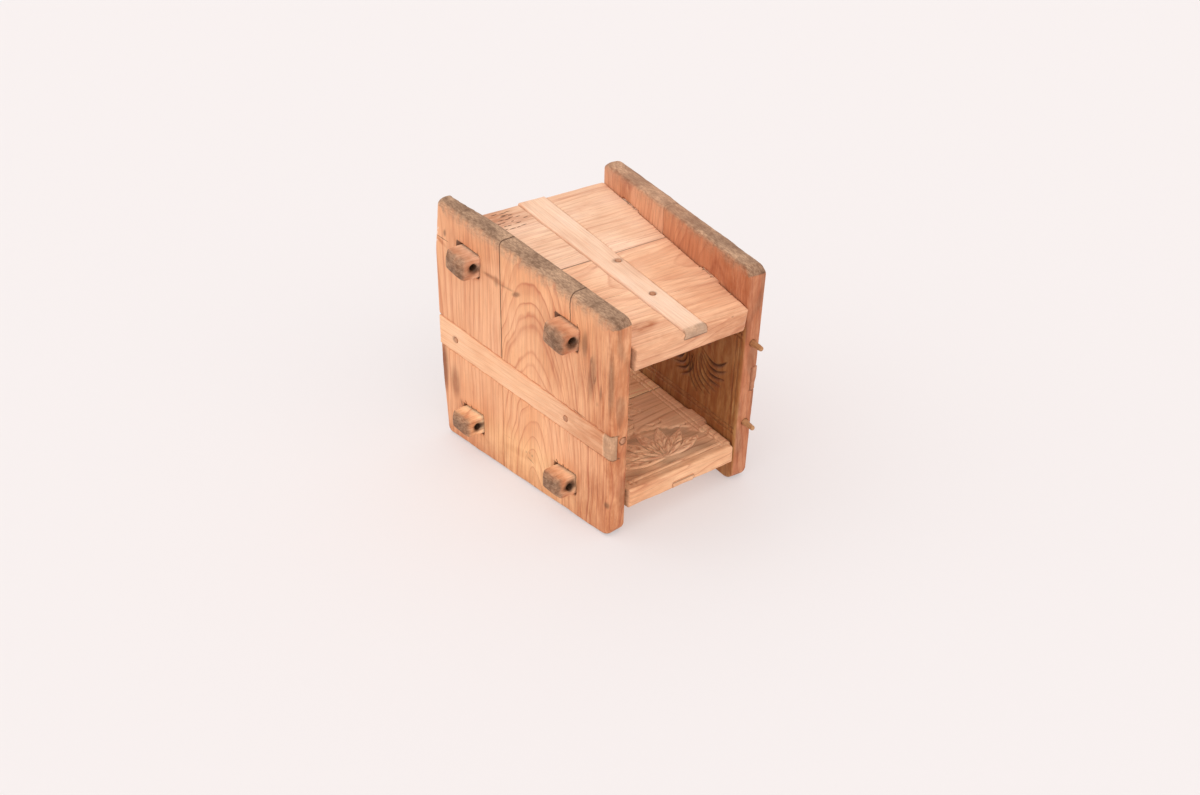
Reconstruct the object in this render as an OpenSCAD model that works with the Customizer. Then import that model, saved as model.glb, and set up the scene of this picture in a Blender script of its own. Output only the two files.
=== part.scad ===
// Knock-down wooden mould: four boards slotted together into a tapered, open-ended box.
// X runs across the mould, Y runs from the narrow mouth to the wide mouth, Z is up.
// Lengths are in millimetres. Heights called "level" are measured from the mould's own axis.

/* [Cavity] */
// Length of the mould from mouth to mouth
mould_length = 200; // [120:1:320]
// Clear width of the cavity at the narrow mouth
mouth_width_front = 104.5; // [70:0.5:160]
// Clear width of the cavity at the wide mouth
mouth_width_back = 142; // [90:0.5:220]
// Level of the cavity ceiling at the narrow mouth
ceiling_front = 58.5; // [40:0.5:90]
// Level of the cavity ceiling at the wide mouth
ceiling_back = 80.8; // [50:0.1:120]
// Level of the cavity floor at the narrow mouth, below the axis
floor_front = 42.6; // [30:0.1:70]
// Level of the cavity floor at the wide mouth, below the axis
floor_back = 50.2; // [30:0.1:90]

/* [Boards] */
// Thickness of the two side boards
side_thickness = 16; // [10:0.5:25]
// Thickness of the top board
top_thickness = 17.7; // [10:0.1:25]
// Thickness of the bottom board
bottom_thickness = 16.2; // [10:0.1:25]
// Depth of the side boards' lower edge below the axis, at the front
lower_edge_front = 80; // [60:1:120]
// Depth of the side boards' lower edge below the axis, at the back
lower_edge_back = 87.8; // [60:0.1:130]
// Height of the left board's upper edge above the axis, at the front
left_edge_front = 100.2; // [80:0.1:140]
// Height of the left board's upper edge above the axis, at the back
left_edge_back = 124.4; // [90:0.1:160]
// Height of the right board's upper edge above the axis, at the front
right_edge_front = 105.5; // [80:0.1:140]
// Height of the right board's upper edge above the axis, at the back
right_edge_back = 117; // [90:0.1:160]
// How far the left board's back edge bows out beyond a straight line
left_back_bow = 5.5; // [0:0.5:10]
// Radius worn on the outer corners of the side boards
outer_round = 4; // [1:0.5:6]
// Radius worn on the inner corners of the side boards
inner_round = 2; // [0.5:0.5:4]
// How far the top and bottom boards stand past the side boards at the front
stand_out_front = 1.5; // [0:0.1:5]
// How far the top and bottom boards stand past the side boards at the back
stand_out_back = 2.8; // [0:0.1:6]
// Gap between a top or bottom board's long edge and the side board
edge_gap = 0.6; // [0.3:0.1:1.5]

/* [Plank joints] */
// Distance from the front to the joint between the left board's planks
left_joint = 124.5; // [80:0.5:160]
// Distance from the front to the joint between the right board's planks
right_joint = 112; // [80:0.5:160]
// Distance from the front to the joint between the top board's planks
top_joint = 107.5; // [80:0.5:140]
// Distance from the front to the joint between the bottom board's planks
bottom_joint = 101; // [80:0.5:140]
// Diameter of the hidden dowels that line the planks up
joint_dowel_diameter = 6; // [4:0.5:8]
// Length of the hidden dowels
joint_dowel_length = 32; // [16:1:50]

/* [Tenons] */
// Middle of the front tenons, measured from the front
front_tenon = 49; // [30:0.5:70]
// Middle of the back tenons, measured from the front
back_tenon = 161; // [130:0.5:180]
// Width of the front tenons
front_tenon_width = 22; // [12:0.5:40]
// Width of the back tenons
back_tenon_width = 23.5; // [12:0.5:40]
// How far a tenon stands out of the side board
tenon_reach = 15.5; // [8:0.5:30]
// Clearance all round a tenon in its mortise
tenon_clearance = 0.3; // [0.2:0.05:1]
// Size of the cut on the corners of a tenon's end
tenon_chamfer = 4; // [0:0.5:6]

/* [Locking pegs] */
// Diameter of the peg hole through a tenon
peg_hole_diameter = 5.5; // [4:0.1:8]
// Distance from the side board's outer face to the middle of the peg hole
peg_offset = 4.4; // [3:0.1:8]
// Diameter of a locking peg where it passes the tenon
peg_diameter = 4.8; // [3:0.1:7]
// Diameter of a locking peg at its thick end
peg_head_diameter = 7.2; // [5:0.1:8]
// Length of the thick end that stands outside the tenon
peg_head_length = 18; // [8:1:30]
// Length of the thin end that stands outside the tenon
peg_tail_length = 12; // [4:1:30]

/* [Battens] */
// Width of a batten's face at the front
batten_front = 18.5; // [10:0.5:30]
// Width of a batten's face at the back
batten_back = 25; // [14:0.5:36]
// Depth of the batten's groove
batten_depth = 6; // [3:0.5:9]
// How far a batten stands above the board's face
batten_proud = 0.8; // [0:0.1:3]
// Slope of the dovetailed sides
batten_slope = 14; // [5:1:25]
// Play between a batten's sides and its groove
batten_play = 0.2; // [0.1:0.05:0.6]
// Diameter of the pins that hold the battens
batten_pin_diameter = 4.6; // [3:0.1:7]
// Length of the pins that hold the battens
batten_pin_length = 13; // [9:0.5:16]

/* [Edge pegs] */
// Diameter of the pegs driven into the front edges of the side boards
edge_peg_diameter = 5.2; // [4:0.1:7]
// How deep the edge pegs go into the board
edge_peg_depth = 34; // [15:1:50]
// How far the right board's edge pegs stand out
edge_peg_reach = 11; // [0:0.5:25]
// Diameter of the right board's edge pegs at the tip
edge_peg_tip = 3.8; // [2:0.1:5]

/* [Hidden] */
// The node names, in drawing order
// The node to draw, or all of them
// Smoothness of round shapes
$fn = 48;
// Angle that brings the side boards' lower edges level
tilt = atan((lower_edge_back - lower_edge_front) / mould_length);
// Angle of each side board to the mould's axis, seen from above
side_angle = atan((mouth_width_back - mouth_width_front) / 2 / mould_length);
// Slope of the top board
top_angle = atan((ceiling_back - ceiling_front) / mould_length);
// Slope of the bottom board
bottom_angle = atan((floor_back - floor_front) / mould_length);
// Where a side board's square-cut front edge starts
side_start = side_thickness * sin(side_angle) / 2;
// Length of a side board along its own face
side_length = mould_length / cos(side_angle);
// Play round pins and dowels that are driven in
drive_play = 0.05;
// Moves the mould so the origin is under its middle
middle_shift = -96.017;
// Colours of the wood
pine = [0.87, 0.62, 0.42];
dark_pine = [0.74, 0.49, 0.31];
pale_pine = [0.93, 0.74, 0.52];
peg_wood = [0.62, 0.40, 0.24];

// Half the clear width of the cavity at a distance from the front.
function half_width(along) = mouth_width_front / 2 + along * tan(side_angle);

// Level of the middle of the top board's thickness at a distance from the front.
function top_middle(along) =
  ceiling_front + along * tan(top_angle) + top_thickness / 2 / cos(top_angle);

// Level of the middle of the bottom board's thickness at a distance from the front.
function bottom_middle(along) =
  -floor_front - along * tan(bottom_angle) - bottom_thickness / 2 / cos(bottom_angle);

// Points round a corner, from one direction to another.
function corner(at, radius, from, to) = [
  for (i = [0 : 4])
    [at[0] + radius * cos(from + (to - from) * i / 4), at[1] + radius * sin(from + (to - from) * i / 4)]
];

// Stands the mould on the side boards' lower edges.
module rest() {
  translate([0, middle_shift, lower_edge_front * cos(tilt)])
    rotate([tilt, 0, 0])
      children();
}

// Space of a side board: X outward from the inner face, Y along the board, Z up.
module side_space(side) {
  mirror([side < 0 ? 1 : 0, 0, 0])
    translate([mouth_width_front / 2, 0, 0])
      rotate([0, 0, -side_angle])
        children();
}

// Space of the top board: Z up from its underside.
module top_space() {
  translate([0, 0, ceiling_front])
    rotate([top_angle, 0, 0])
      children();
}

// Space of the bottom board: Z down from its upper face.
module bottom_space() {
  mirror([0, 0, 1])
    translate([0, 0, floor_front])
      rotate([bottom_angle, 0, 0])
        children();
}

// Outline of a side board seen from the side, as Y and Z.
module side_outline(edge_front, edge_back, bow) {
  r = outer_round;
  polygon(concat(
    corner([side_start + r, -lower_edge_front - 0.5 + r], r, 270, 180),
    corner([side_start + r, edge_front - r], r, 180, 90),
    corner([side_length - r, edge_back - r - 1], r, 90, 10),
    [[side_length + bow, edge_back * 0.6]],
    [[side_length + bow, edge_back * 0.2]],
    [[side_length + bow * 0.6, -lower_edge_back * 0.5]],
    corner([side_length - r, -lower_edge_back - 0.5 + r], r, 0, -90)
  ));
}

// Section of a side board seen from above, as X and Y, with its worn corners.
module side_section(bow) {
  ro = outer_round;
  ri = inner_round;
  a = side_start;
  b = side_length + bow;
  t = side_thickness;
  polygon(concat(
    corner([ri, a + ri], ri, 180, 270),
    corner([t - ro, a + ro], ro, 270, 360),
    corner([t - ro, b - ro], ro, 0, 90),
    corner([ri, b - ri], ri, 90, 180)
  ));
}

// A whole side board without its joinery.
module side_blank(edge_front, edge_back, bow) {
  intersection() {
    rotate([90, 0, 90])
      linear_extrude(side_thickness)
        side_outline(edge_front, edge_back, bow);
    translate([0, 0, -150])
      linear_extrude(320)
        side_section(bow);
  }
}

// The part of a board between two distances from the front.
module stretch(from, to) {
  translate([-200, from, -200])
    cube([400, to - from, 400]);
}

// A bar with dovetailed sides that widens towards the back, face at Z = 0.
module dovetail(from, to, centre_front, centre_back, proud, play) {
  right_front = centre_front + batten_front / 2 + play;
  right_back = centre_back + batten_back / 2 + play;
  left_front = centre_front - batten_front / 2 - play;
  left_back = centre_back - batten_back / 2 - play;
  right_turn = atan((right_back - right_front) / mould_length);
  left_turn = atan((left_back - left_front) / mould_length);
  intersection() {
    translate([-50, from, -batten_depth])
      cube([100, to - from, batten_depth + proud]);
    translate([right_front, 0, 0])
      rotate([0, 0, -right_turn])
        rotate([0, -batten_slope, 0])
          translate([-100, -60, -60])
            cube([100, mould_length + 120, 120]);
    translate([left_front, 0, 0])
      rotate([0, 0, -left_turn])
        rotate([0, batten_slope, 0])
          translate([0, -60, -60])
            cube([100, mould_length + 120, 120]);
  }
}

// Turns a bar drawn face up so that it lies in a side board's outer face.
module on_side() {
  translate([side_thickness, 0, 0])
    rotate([0, 90, 0])
      children();
}

// Everything below the surface that the mould stands on.
module below_ground() {
  translate([-200, -200, -60])
    cube([400, 400, 60]);
}

// One tenon's solid as drawn in its board's space, from the middle to past both tips.
module tenon_run(middle, width, thickness, grow) {
  translate([-130, middle - width / 2 - grow, -grow])
    cube([260, width + 2 * grow, thickness + 2 * grow]);
}

// All four mortise cuts that go through a side board.
module mortises() {
  top_space() {
    tenon_run(front_tenon, front_tenon_width, top_thickness, tenon_clearance);
    tenon_run(back_tenon, back_tenon_width, top_thickness, tenon_clearance);
  }
  bottom_space() {
    tenon_run(front_tenon, front_tenon_width, bottom_thickness, tenon_clearance);
    tenon_run(back_tenon, back_tenon_width, bottom_thickness, tenon_clearance);
  }
}

// Positions of a side board's batten pins, along the board and up from the axis.
function side_pins(side) = side < 0 ? [[50, 1.6], [182, 8.2]] : [[48, 12.5], [160, 14]];

// Level of a side batten's middle at the front and at the back.
function side_batten(side) = side < 0 ? [-0.8, 9.1] : [12, 14.5];

// Levels of the hidden dowels between a side board's planks.
function side_dowels(side) = side < 0 ? [-45, 68] : [-42, 66];

// A side board's batten, or the groove it lies in.
module side_bar(side, from, to, proud, play) {
  levels = side_batten(side);
  on_side()
    dovetail(from, to, -levels[0], -levels[1], proud, play);
}

// The pins of a side board's batten, or their holes.
module side_pin_set(side, play) {
  for (place = side_pins(side))
    translate([side_thickness + batten_proud + 0.2 - batten_pin_length, place[0], place[1]])
      rotate([0, 90, 0])
        cylinder(h = batten_pin_length + (play > 0 ? 4 : 0), r = batten_pin_diameter / 2 + play);
}

// The hidden dowels between a side board's planks, or their holes.
module side_dowel_set(side, joint, play) {
  for (level = side_dowels(side))
    translate([side_thickness / 2 - 1, joint - joint_dowel_length / 2 - play, level])
      rotate([-90, 0, 0])
        cylinder(h = joint_dowel_length + 2 * play, r = joint_dowel_diameter / 2 + play);
}

// A peg driven into a side board's front edge, or its hole.
module edge_peg(across, level, reach, play) {
  translate([across, side_start + edge_peg_depth, level])
    rotate([90, 0, 0]) {
      cylinder(h = edge_peg_depth + (play > 0 ? 4 : 0), r = edge_peg_diameter / 2 + play);
      if (reach > 0 && play == 0) {
        translate([0, 0, edge_peg_depth])
          cylinder(h = reach - 0.8, r1 = edge_peg_diameter / 2, r2 = edge_peg_tip / 2 + 0.1);
        translate([0, 0, edge_peg_depth + reach - 0.8])
          cylinder(h = 0.8, r1 = edge_peg_tip / 2 + 0.1, r2 = edge_peg_tip / 2 - 0.7);
      }
    }
}

// The left board with its joinery, between two distances from the front.
module left_board(from, to) {
  difference() {
    rest()
      side_space(-1)
        difference() {
          intersection() {
            side_blank(left_edge_front, left_edge_back, left_back_bow);
            stretch(from, to);
          }
          side_bar(-1, -20, side_length + 20, 5, batten_play);
          side_pin_set(-1, drive_play);
          side_dowel_set(-1, left_joint, drive_play);
          edge_peg(5.4, 3.1, 0, drive_play);
        }
    rest()
      mortises();
    below_ground();
  }
}

// The right board with its joinery, between two distances from the front.
module right_board(from, to) {
  difference() {
    rest()
      side_space(1)
        difference() {
          intersection() {
            side_blank(right_edge_front, right_edge_back, 0);
            stretch(from, to);
          }
          side_bar(1, -20, side_length + 20, 5, batten_play);
          side_pin_set(1, drive_play);
          side_dowel_set(1, right_joint, drive_play);
          edge_peg(8.3, 43.9, 0, drive_play);
          edge_peg(8.3, -25.7, 0, drive_play);
        }
    rest()
      mortises();
    below_ground();
  }
}

// Plan of a top or bottom plank with one pair of tenons, as X and Y.
module plank_plan(from, to, angle, middle, width) {
  grow = cos(angle) * tan(side_angle);
  a = mouth_width_front / 2 - edge_gap + from * grow;
  b = mouth_width_front / 2 - edge_gap + to * grow;
  r = from < 0 ? 3 : 0.01;
  q = to > mould_length ? 3 : 0.01;
  tip = half_width(middle) + side_thickness / cos(side_angle) + tenon_reach;
  c = tenon_chamfer;
  for (side = [0, 1])
    mirror([side, 0, 0]) {
      polygon(concat(
        [[-0.01, from]],
        corner([a - r, from + r], r, 270, 360),
        corner([b - q, to - q], q, 0, 90),
        [[-0.01, to]]
      ));
      polygon([
        [a - 20, middle - width / 2],
        [tip - c, middle - width / 2],
        [tip, middle - width / 2 + c],
        [tip, middle + width / 2 - c],
        [tip - c, middle + width / 2],
        [a - 20, middle + width / 2]
      ]);
    }
}

// Side view of a plank's thickness with the tenons' ends cut back, as X and Z.
module plank_profile(thickness, middle) {
  tip = half_width(middle) + side_thickness / cos(side_angle) + tenon_reach;
  c = tenon_chamfer;
  polygon([
    [-tip, c],
    [-tip + c, 0],
    [tip - c, 0],
    [tip, c],
    [tip, thickness - c],
    [tip - c, thickness],
    [-tip + c, thickness],
    [-tip, thickness - c]
  ]);
}

// A plank of the top or bottom board, drawn up from its inner face.
module plank_blank(from, to, angle, thickness, middle, width) {
  intersection() {
    linear_extrude(thickness)
      plank_plan(from, to, angle, middle, width);
    translate([0, 300, 0])
      rotate([90, 0, 0])
        linear_extrude(400)
          plank_profile(thickness, middle);
  }
}

// Positions of the top board's batten pins, across and along.
top_pins = [[1.5, 49], [6.6, 97]];
// Positions of the bottom board's batten pins, across and along.
bottom_pins = [[0.6, 52], [0.6, 150]];

// Pins through a batten, or their holes, drawn up from a board's inner face.
module pin_set(places, thickness, play) {
  for (place = places)
    translate([place[0], place[1], thickness + batten_proud + 0.2 - batten_pin_length])
      cylinder(h = batten_pin_length + (play > 0 ? 4 : 0), r = batten_pin_diameter / 2 + play);
}

// Hidden dowels between two planks, or their holes, drawn up from the inner face.
module dowel_set(joint, thickness, play) {
  for (side = [-1, 1])
    translate([side * 36, joint - joint_dowel_length / 2 - play, thickness / 2])
      rotate([-90, 0, 0])
        cylinder(h = joint_dowel_length + 2 * play, r = joint_dowel_diameter / 2 + play);
}

// The four peg holes of one end of the mould, through the tenons beside a side board.
module peg_hole(side, middle, level) {
  side_space(side)
    translate([side_thickness + peg_offset, middle / cos(side_angle) + 30, level])
      rotate([90, 0, 0])
        cylinder(h = 60, r = peg_hole_diameter / 2);
}

// A plank of the top board.
module top_plank(from, to, middle, width) {
  rest()
    difference() {
      top_space()
        difference() {
          plank_blank(from, to, top_angle, top_thickness, middle, width);
          translate([0, 0, top_thickness])
            dovetail(-20, mould_length + 20, 1.3, 0, 5, batten_play);
          pin_set(top_pins, top_thickness, drive_play);
          dowel_set(top_joint, top_thickness, drive_play);
        }
      for (side = [-1, 1])
        peg_hole(side, middle, top_middle(middle));
    }
}

// A plank of the bottom board.
module bottom_plank(from, to, middle, width) {
  rest()
    difference() {
      bottom_space()
        difference() {
          plank_blank(from, to, bottom_angle, bottom_thickness, middle, width);
          translate([0, 0, bottom_thickness])
            dovetail(-20, mould_length + 20, 0.6, 0.6, 5, batten_play);
          pin_set(bottom_pins, bottom_thickness, drive_play);
          dowel_set(bottom_joint, bottom_thickness, drive_play);
        }
      for (side = [-1, 1])
        peg_hole(side, middle, bottom_middle(middle));
    }
}

// A locking peg beside the right board; the thick end points to the given end.
module locking_peg(middle, width, level, facing) {
  half = width / 2 / cos(side_angle) + 1;
  rest()
    side_space(1)
      translate([side_thickness + peg_offset, middle / cos(side_angle), level])
        rotate([facing * 90, 0, 0]) {
          translate([0, 0, -half - peg_tail_length])
            cylinder(h = 1, r1 = peg_diameter / 2 - 0.6, r2 = peg_diameter / 2);
          translate([0, 0, 1 - half - peg_tail_length])
            cylinder(h = 2 * half + peg_tail_length - 1, r = peg_diameter / 2);
          translate([0, 0, half])
            cylinder(h = peg_head_length - 1, r1 = peg_diameter / 2, r2 = peg_head_diameter / 2);
          translate([0, 0, half + peg_head_length - 1])
            cylinder(h = 1, r1 = peg_head_diameter / 2, r2 = peg_head_diameter / 2 - 0.8);
        }
}

module left_front_plank() {
  color(pine)
    left_board(-10, left_joint);
}

module left_back_plank() {
  color(dark_pine)
    left_board(left_joint, side_length + 20);
}

module left_batten() {
  color(pale_pine)
    rest()
      side_space(-1)
        difference() {
          side_bar(-1, side_start, side_length + 3, batten_proud, 0);
          side_pin_set(-1, drive_play);
        }
}

module left_batten_pins() {
  color(peg_wood)
    rest()
      side_space(-1)
        side_pin_set(-1, 0);
}

module left_joint_dowels() {
  color(peg_wood)
    rest()
      side_space(-1)
        side_dowel_set(-1, left_joint, 0);
}

module left_edge_peg() {
  color(peg_wood)
    rest()
      side_space(-1)
        edge_peg(5.4, 3.1, 0, 0);
}

module right_front_plank() {
  color(pine)
    right_board(-10, right_joint);
}

module right_back_plank() {
  color(dark_pine)
    right_board(right_joint, side_length + 20);
}

module right_batten() {
  color(pale_pine)
    rest()
      side_space(1)
        difference() {
          side_bar(1, side_start, side_length, batten_proud, 0);
          side_pin_set(1, drive_play);
        }
}

module right_batten_pins() {
  color(peg_wood)
    rest()
      side_space(1)
        side_pin_set(1, 0);
}

module right_joint_dowels() {
  color(peg_wood)
    rest()
      side_space(1)
        side_dowel_set(1, right_joint, 0);
}

module right_upper_edge_peg() {
  color(peg_wood)
    rest()
      side_space(1)
        edge_peg(8.3, 43.9, edge_peg_reach, 0);
}

module right_lower_edge_peg() {
  color(peg_wood)
    rest()
      side_space(1)
        edge_peg(8.3, -25.7, edge_peg_reach, 0);
}

module top_front_plank() {
  color(pine)
    top_plank(-stand_out_front, top_joint, front_tenon, front_tenon_width);
}

module top_back_plank() {
  color(dark_pine)
    top_plank(top_joint, mould_length + stand_out_back, back_tenon, back_tenon_width);
}

module top_batten() {
  color(pale_pine)
    rest()
      top_space()
        difference() {
          translate([0, 0, top_thickness])
            dovetail(-stand_out_front, mould_length + stand_out_back + 0.8, 1.3, 0, batten_proud, 0);
          pin_set(top_pins, top_thickness, drive_play);
        }
}

module top_batten_pins() {
  color(peg_wood)
    rest()
      top_space()
        pin_set(top_pins, top_thickness, 0);
}

module top_joint_dowels() {
  color(peg_wood)
    rest()
      top_space()
        dowel_set(top_joint, top_thickness, 0);
}

module bottom_front_plank() {
  color(pine)
    bottom_plank(-stand_out_front, bottom_joint, front_tenon, front_tenon_width);
}

module bottom_back_plank() {
  color(dark_pine)
    bottom_plank(bottom_joint, mould_length + stand_out_back, back_tenon, back_tenon_width);
}

module bottom_batten() {
  color(pale_pine)
    rest()
      bottom_space()
        difference() {
          translate([0, 0, bottom_thickness])
            dovetail(-stand_out_front, mould_length + stand_out_back, 0.6, 0.6, batten_proud, 0);
          pin_set(bottom_pins, bottom_thickness, drive_play);
        }
}

module bottom_batten_pins() {
  color(peg_wood)
    rest()
      bottom_space()
        pin_set(bottom_pins, bottom_thickness, 0);
}

module bottom_joint_dowels() {
  color(peg_wood)
    rest()
      bottom_space()
        dowel_set(bottom_joint, bottom_thickness, 0);
}

module upper_front_peg() {
  color(peg_wood)
    locking_peg(front_tenon, front_tenon_width, top_middle(front_tenon), 1);
}

module upper_back_peg() {
  color(peg_wood)
    locking_peg(back_tenon, back_tenon_width, top_middle(back_tenon), -1);
}

module lower_front_peg() {
  color(peg_wood)
    locking_peg(front_tenon, front_tenon_width, bottom_middle(front_tenon), 1);
}

module lower_back_peg() {
  color(peg_wood)
    locking_peg(back_tenon, back_tenon_width, bottom_middle(back_tenon), -1);
}

left_front_plank();
left_back_plank();
left_batten();
left_batten_pins();
left_joint_dowels();
left_edge_peg();
right_front_plank();
right_back_plank();
right_batten();
right_batten_pins();
right_joint_dowels();
right_upper_edge_peg();
right_lower_edge_peg();
top_front_plank();
top_back_plank();
top_batten();
top_batten_pins();
top_joint_dowels();
bottom_front_plank();
bottom_back_plank();
bottom_batten();
bottom_batten_pins();
bottom_joint_dowels();
upper_front_peg();
upper_back_peg();
lower_front_peg();
lower_back_peg();
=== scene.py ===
from math import atan, cos, pi, radians, sin

import bmesh
import bpy
import numpy as np
from mathutils import Matrix, Vector


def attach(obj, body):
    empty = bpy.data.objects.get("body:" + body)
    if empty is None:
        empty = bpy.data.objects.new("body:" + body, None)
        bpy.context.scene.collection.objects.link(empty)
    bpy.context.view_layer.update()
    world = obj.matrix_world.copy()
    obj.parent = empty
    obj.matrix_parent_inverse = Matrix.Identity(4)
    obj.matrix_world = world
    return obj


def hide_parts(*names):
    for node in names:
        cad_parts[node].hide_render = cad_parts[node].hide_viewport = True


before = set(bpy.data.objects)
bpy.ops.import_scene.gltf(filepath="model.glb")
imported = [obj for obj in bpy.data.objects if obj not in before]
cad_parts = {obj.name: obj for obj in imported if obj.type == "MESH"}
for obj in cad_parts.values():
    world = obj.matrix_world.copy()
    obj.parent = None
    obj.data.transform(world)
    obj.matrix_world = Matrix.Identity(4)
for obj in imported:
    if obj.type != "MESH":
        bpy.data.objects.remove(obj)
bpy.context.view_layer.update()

# Sizes in millimetres, as the CAD has them

MM = 0.001
LENGTH = 200.0
MOUTH = (104.5, 142.0)  # clear width at the narrow and the wide mouth
CEILING = (58.5, 80.8)  # level of the cavity's ceiling at the two mouths
FLOOR = (42.6, 50.2)  # depth of the cavity's floor at the two mouths
LOWER_EDGE = (80.0, 87.8)  # depth of the side boards' lower edge
LEFT_EDGE = (100.2, 124.4)  # height of the left board's upper edge
RIGHT_EDGE = (105.5, 117.0)  # height of the right board's upper edge
SIDE_T = 16.0
TOP_T = 17.7
BOTTOM_T = 16.2
STAND_OUT = (1.5, 2.8)  # how far the top and bottom boards pass the side boards
SIDES = ("left", "right")
THICK = {"left": SIDE_T, "right": SIDE_T, "top": TOP_T, "bottom": BOTTOM_T}
JOINTS = {"left": 124.5, "right": 112.0, "top": 107.5, "bottom": 101.0}  # front edge to plank joint
TENONS = ((49.0, 22.0), (161.0, 23.5))  # middle and width of the front and the back tenon
PEG_OFFSET = 4.4  # the peg hole's middle, out from the side board's face
MIDDLE_SHIFT = -96.017  # brings the CAD's middle to the origin

TILT = atan((LOWER_EDGE[1] - LOWER_EDGE[0]) / LENGTH)
SIDE_ANGLE = atan((MOUTH[1] - MOUTH[0]) / 2 / LENGTH)
TOP_ANGLE = atan((CEILING[1] - CEILING[0]) / LENGTH)
BOTTOM_ANGLE = atan((FLOOR[1] - FLOOR[0]) / LENGTH)
SIDE_START = SIDE_T * sin(SIDE_ANGLE) / 2
SIDE_LENGTH = LENGTH / cos(SIDE_ANGLE)

VOXEL = 1.0
PEG_VOXEL = 0.45

# The boards' own spaces in millimetres. Y runs along the mould. A side board's X and a level
# board's Z point outward from its inner face.


def turn(angle, axis):
    return Matrix.Rotation(angle, 4, axis)


def shift(x, y, z):
    return Matrix.Translation((x, y, z))


REST = Matrix.Scale(MM, 4) @ shift(0, MIDDLE_SHIFT, LOWER_EDGE[0] * cos(TILT)) @ turn(TILT, "X")
RIGHT = REST @ shift(MOUTH[0] / 2, 0, 0) @ turn(-SIDE_ANGLE, "Z")
MIRROR_X = Matrix.Diagonal((-1, 1, 1, 1))
MIRROR_Z = Matrix.Diagonal((1, 1, -1, 1))
SPACES = {
    "right": RIGHT,
    "left": REST @ MIRROR_X @ shift(MOUTH[0] / 2, 0, 0) @ turn(-SIDE_ANGLE, "Z"),
    "top": REST @ shift(0, 0, CEILING[0]) @ turn(TOP_ANGLE, "X"),
    "bottom": REST @ MIRROR_Z @ shift(0, 0, FLOOR[0]) @ turn(BOTTOM_ANGLE, "X"),
}


def between(ends, y):
    """The value at distance y from the front, given the values at the two mouths."""
    return ends[0] + (ends[1] - ends[0]) * y / LENGTH


def show(name, data):
    """A new object in the scene."""
    made = bpy.data.objects.new(name, data)
    bpy.context.scene.collection.objects.link(made)
    return made


# Number helpers that work on whole arrays of points


def ease(low, high, value):
    """0 below low, 1 above high, smooth between."""
    t = np.clip((value - low) / (high - low), 0, 1)
    return t * t * (3 - 2 * t)


def waves(points, size, seed):
    """Smooth pseudo-noise from -1 to 1 whose bumps are about size across."""
    random = np.random.default_rng(seed)
    total = np.zeros(len(points))
    for _ in range(9):
        way = random.normal(size=3)
        way *= (0.6 + 0.8 * random.random()) / np.linalg.norm(way)
        total += np.sin(points @ way * (2 * pi / size) + random.random() * 2 * pi)
    return np.clip(total / 4.2, -1, 1)


def round_edge(points, gap_a, way_a, gap_b, way_b, radius):
    """Rounds the edge where two faces meet. gap is how far inside a face each point is, and way
    is the face's outward direction."""
    a = radius - gap_a
    b = radius - gap_b
    reach = np.hypot(a, b)
    inside = (a > 0) & (b > 0) & (reach > radius)
    pull = np.where(inside, 1 - radius / np.maximum(reach, 1e-6), 0)
    points -= (a * pull)[:, None] * way_a
    points -= (b * pull)[:, None] * way_b


def spots(face, marks):
    """How strongly a list of blurred oval marks covers each point. A mark is (y, z, half length,
    half width, degrees) and may end with its strength."""
    total = np.zeros(len(face))
    for y, z, long, wide, degrees, *strength in marks:
        c, s = cos(radians(degrees)), sin(radians(degrees))
        dy, dz = face[:, 0] - y, face[:, 1] - z
        along, across = dy * c + dz * s, dz * c - dy * s
        cover = 1 - ease(0.4, 1.3, np.hypot(along / long, across / wide))
        total = np.maximum(total, cover * (strength[0] if strength else 1.0))
    return total


# Carving: a stroke is a row of points on a face with a width at each


def stroke(start, end, bend, width, ends=0.15, steps=14):
    """A gouge cut from start to end that bows sideways by bend, wide in the middle and thin at its ends."""
    start, end = np.array(start, float), np.array(end, float)
    side = np.array([-(end - start)[1], (end - start)[0]])
    side /= np.linalg.norm(side)
    t = np.linspace(0, 1, steps)[:, None]
    line = start + (end - start) * t + side * bend * np.sin(pi * t)
    return line, width * (ends + (1 - ends) * np.sin(pi * t[:, 0]) ** 0.6)


def line_cut(start, end, width):
    """A scratched line of even width."""
    return stroke(start, end, 0, width, ends=1.0, steps=2)


def carve_depth(face, strokes):
    """How deep the cuts go below each point of a face."""
    depth = np.zeros(len(face))
    for line, width in strokes:
        low = line.min(0) - width.max()
        high = line.max(0) + width.max()
        near = np.flatnonzero(((face > low) & (face < high)).all(1))
        if not len(near):
            continue
        points = face[near]
        best = np.zeros(len(near))
        for i in range(len(line) - 1):
            a, b = line[i], line[i + 1]
            along = np.clip(((points - a) @ (b - a)) / max((b - a) @ (b - a), 1e-9), 0, 1)
            gap = np.linalg.norm(points - a - along[:, None] * (b - a), axis=1)
            half = (width[i] + (width[i + 1] - width[i]) * along) / 2
            best = np.maximum(best, np.clip(half - gap, 0, None))
        depth[near] = np.maximum(depth[near], best)
    return depth


def near_strokes(face, strokes):
    """Whether each point lies on or just beside a stroke."""
    return carve_depth(face, [(line, width + 1.8) for line, width in strokes]) > 0


def heading(angle):
    return np.array([cos(angle), sin(angle)])


def fan(centre, radius, start, sweep, cuts, bend, width):
    """Gouge cuts that spread from a centre."""
    made = []
    for i in range(cuts):
        angle = radians(start + sweep * i / max(cuts - 1, 1))
        way = heading(angle)
        made.append(stroke(centre + way * radius * 0.25, centre + way * radius, bend, width, ends=0.3))
    return made


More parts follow.
